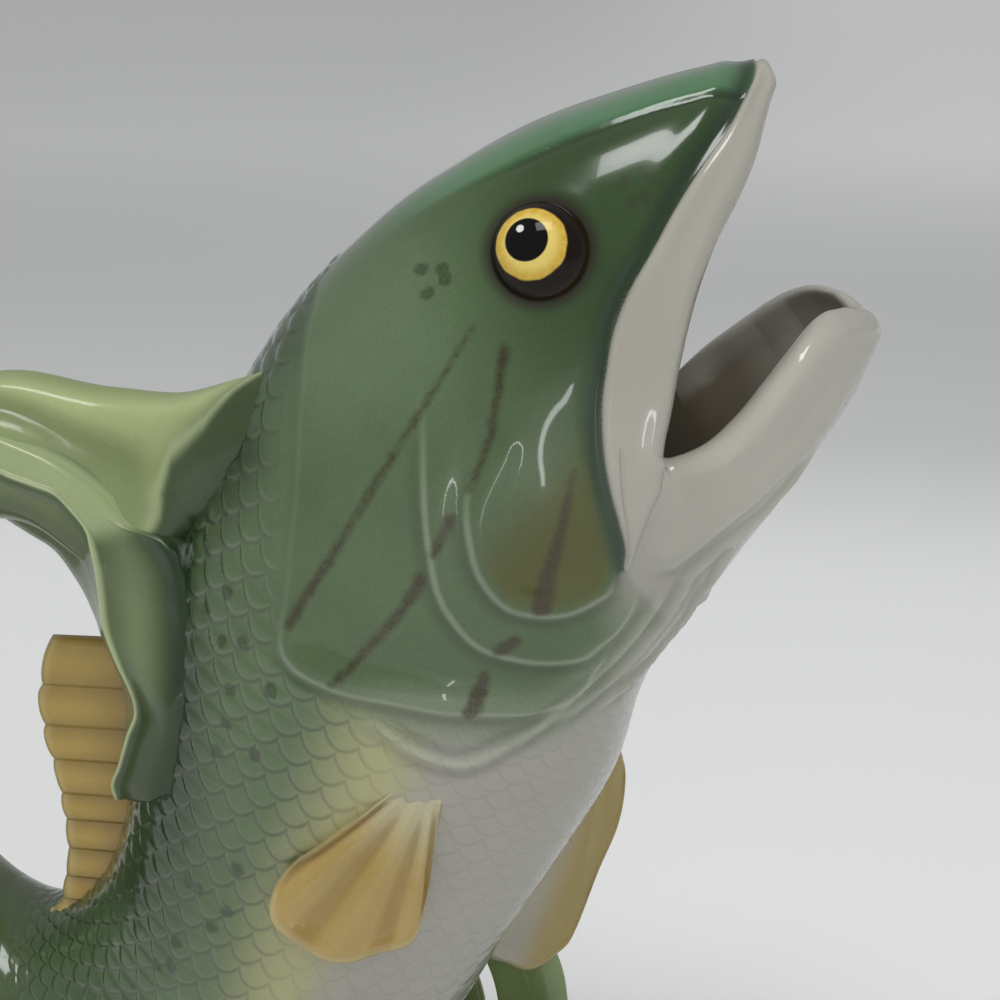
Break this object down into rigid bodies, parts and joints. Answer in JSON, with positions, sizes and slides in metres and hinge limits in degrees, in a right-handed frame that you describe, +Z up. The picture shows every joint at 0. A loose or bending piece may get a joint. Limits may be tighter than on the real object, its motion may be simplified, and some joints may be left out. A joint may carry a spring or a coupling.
{
  "type": "gurgle jug",
  "caption": "Glazed earthenware gurgle jug in the form of an upright bass: open mouth as the spout, hollow tail curled round to the back as the handle, weed-leaf foot.",
  "frame": {"origin": "middle of the foot's rest face, on the jug's middle plane", "axes": "+X towards the pouring mouth, -X towards the tail handle, +Y towards the fish's left side, +Z up"},
  "size_m": [0.2468, 0.0985, 0.2782],
  "materials": {
    "body_glaze": "glossy green underglaze paint fading to white on the belly",
    "white_glaze": "glossy clear glaze on white earthenware",
    "tail_glaze": "glossy pale olive glaze",
    "fin_glaze": "glossy ochre glaze",
    "eye_glaze": "glossy painted yellow iris with a black pupil",
    "weed_glaze": "glossy mid green glaze"
  },
  "bodies": {
    "root": {"foot": "weed_glaze", "front_leaf": "weed_glaze", "right_front_leaf": "weed_glaze", "right_side_leaf": "weed_glaze", "right_rear_leaf": "weed_glaze", "left_side_leaf": "weed_glaze", "left_rear_leaf": "weed_glaze", "body_shell": "body_glaze", "head_shell": "body_glaze", "upper_lip": "white_glaze", "lower_jaw": "white_glaze", "tail_handle": "tail_glaze", "tail_upper_lobe": "tail_glaze", "tail_lower_lobe": "tail_glaze", "dorsal_fin": "fin_glaze", "right_pectoral_fin": "fin_glaze", "left_pectoral_fin": "fin_glaze", "right_gill_cover": "body_glaze", "left_gill_cover": "body_glaze", "right_eye": "eye_glaze", "left_eye": "eye_glaze"}
  },
  "joints": []
}
